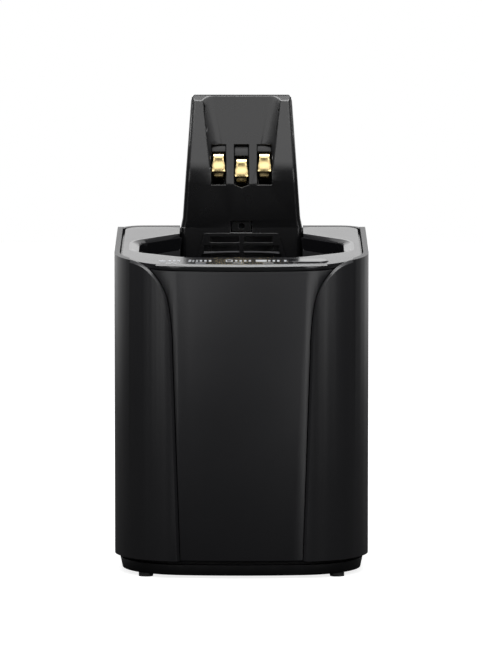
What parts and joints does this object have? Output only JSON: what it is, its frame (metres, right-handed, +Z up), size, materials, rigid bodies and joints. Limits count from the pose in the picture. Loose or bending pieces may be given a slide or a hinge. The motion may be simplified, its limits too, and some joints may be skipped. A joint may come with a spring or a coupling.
{
  "type": "shaver cleaning dock",
  "caption": "Free-standing cleaning and charging dock for an electric shaver, with a sloping deck, a shaver well, a contact column and a lift-off water tank.",
  "frame": {"origin": "centre of the dock's outline on the surface that the feet stand on", "axes": "+Z up, -Y out of the front face, +X to the right seen from the front"},
  "size_m": [0.096, 0.148, 0.1765],
  "materials": {
    "satin_black": "satin, fine moulded grain",
    "panel_black": "satin, fine moulded grain",
    "deck_gunmetal": "satin gloss",
    "gloss_black": "polished",
    "column_black": "satin",
    "inner_black": "moulded",
    "smoke_tank": "clear smoke plastic",
    "clear_lens": "frosted clear plastic",
    "print_white": "printed",
    "gold_contact": "gold plated",
    "steel": "plated steel",
    "motor_can": "plated steel can",
    "rubber_black": "moulded rubber",
    "seal_grey": "silicone",
    "board_green": "solder-masked board",
    "component_dark": "moulded",
    "hose_clear": "silicone tube",
    "machine_grey": "moulded",
    "cartridge_blue": "moulded",
    "ribbon_white": "film"
  },
  "bodies": {
    "dock": {"outer_shell": "satin_black", "chassis": "inner_black", "base_plate": "inner_black", "rubber_feet": "rubber_black", "base_screws": "steel", "deck": "deck_gunmetal", "opening_bezel": "gloss_black", "well_liner": "inner_black", "wash_bowl": "inner_black", "drain_filter": "machine_grey", "control_pcb": "board_green", "control_screws": "steel", "indicator_leds": "clear_lens", "indicator_lenses": "clear_lens", "select_switch": "component_dark", "column_front": "column_black", "column_rear": "column_black", "column_screws": "steel", "terminal_block": "inner_black", "contact_ribbon": "ribbon_white", "air_outlet_grille": "column_black", "air_duct": "machine_grey", "water_spout": "inner_black", "fan_housing": "machine_grey", "fan_motor": "motor_can", "pump_housing": "machine_grey", "pump_seal": "seal_grey", "pump_motor": "motor_can", "supply_hose": "hose_clear", "inlet_hose": "hose_clear", "main_pcb": "board_green", "pcb_components": "component_dark", "pcb_screws": "steel", "power_inlet": "component_dark", "inlet_pins": "steel", "tank_platform": "satin_black", "tank_seat": "machine_grey", "seat_gasket": "seal_grey"},
    "select_button": {"select_button": "gloss_black"},
    "left_contact": {"contact_left": "gold_contact"},
    "centre_contact": {"contact_centre": "gold_contact"},
    "right_contact": {"contact_right": "gold_contact"},
    "water_tank": {"tank_body": "smoke_tank", "lid_hinge_pin": "steel", "outlet_cap": "inner_black"},
    "tank_lid": {"tank_lid": "satin_black", "lid_gasket": "seal_grey"},
    "tank_valve": {"tank_valve": "ribbon_white", "valve_seal": "seal_grey", "valve_spring": "steel"},
    "cleaning_tray": {"front_panel": "panel_black", "tray_tub": "inner_black", "detergent_cartridge": "cartridge_blue", "cartridge_lid": "cartridge_blue", "tray_filter": "machine_grey"},
    "fan": {"fan_rotor": "component_dark"},
    "pump": {"pump_impeller": "ribbon_white"}
  },
  "joints": [
    {"name": "select_press", "type": "slide", "parent": "dock", "child": "select_button", "axis": [0, 0.0802, -0.9968], "range_m": [0, 0.0006], "stiffness_N_per_m": 400, "springref_m": -0.0006},
    {"name": "left_contact_press", "type": "slide", "parent": "dock", "child": "left_contact", "axis": [0, 1, 0], "range_m": [0, 0.001], "stiffness_N_per_m": 500, "springref_m": -0.0004},
    {"name": "centre_contact_press", "type": "slide", "parent": "dock", "child": "centre_contact", "axis": [0, 1, 0], "range_m": [0, 0.001], "stiffness_N_per_m": 500, "springref_m": -0.0004},
    {"name": "right_contact_press", "type": "slide", "parent": "dock", "child": "right_contact", "axis": [0, 1, 0], "range_m": [0, 0.001], "stiffness_N_per_m": 500, "springref_m": -0.0004},
    {"name": "tank_lift", "type": "slide", "parent": "dock", "child": "water_tank", "axis": [0, 0, 1], "range_m": [0, 0.17]},
    {"name": "lid_hinge", "type": "hinge", "parent": "water_tank", "child": "tank_lid", "pos_m": [0, 0.0656, 0.167], "axis": [-1, 0, 0], "range_deg": [0, 100]},
    {"name": "valve_stroke", "type": "slide", "parent": "water_tank", "child": "tank_valve", "axis": [0, 0, 1], "range_m": [-0.003, 0], "deforming": ["valve_spring"]},
    {"name": "tray_slide", "type": "slide", "parent": "dock", "child": "cleaning_tray", "axis": [0, -1, 0], "range_m": [0, 0.105]},
    {"name": "fan_spin", "type": "hinge", "parent": "dock", "child": "fan", "pos_m": [0, 0.006, 0.066], "axis": [0, 1, 0], "continuous": true},
    {"name": "pump_spin", "type": "hinge", "parent": "dock", "child": "pump", "pos_m": [0.033, 0.008, 0.032], "axis": [0, 0, 1], "continuous": true}
  ],
  "couplings": [
    {"joint": "valve_stroke", "follows": "tank_lift", "ratio": -0.0176}
  ]
}
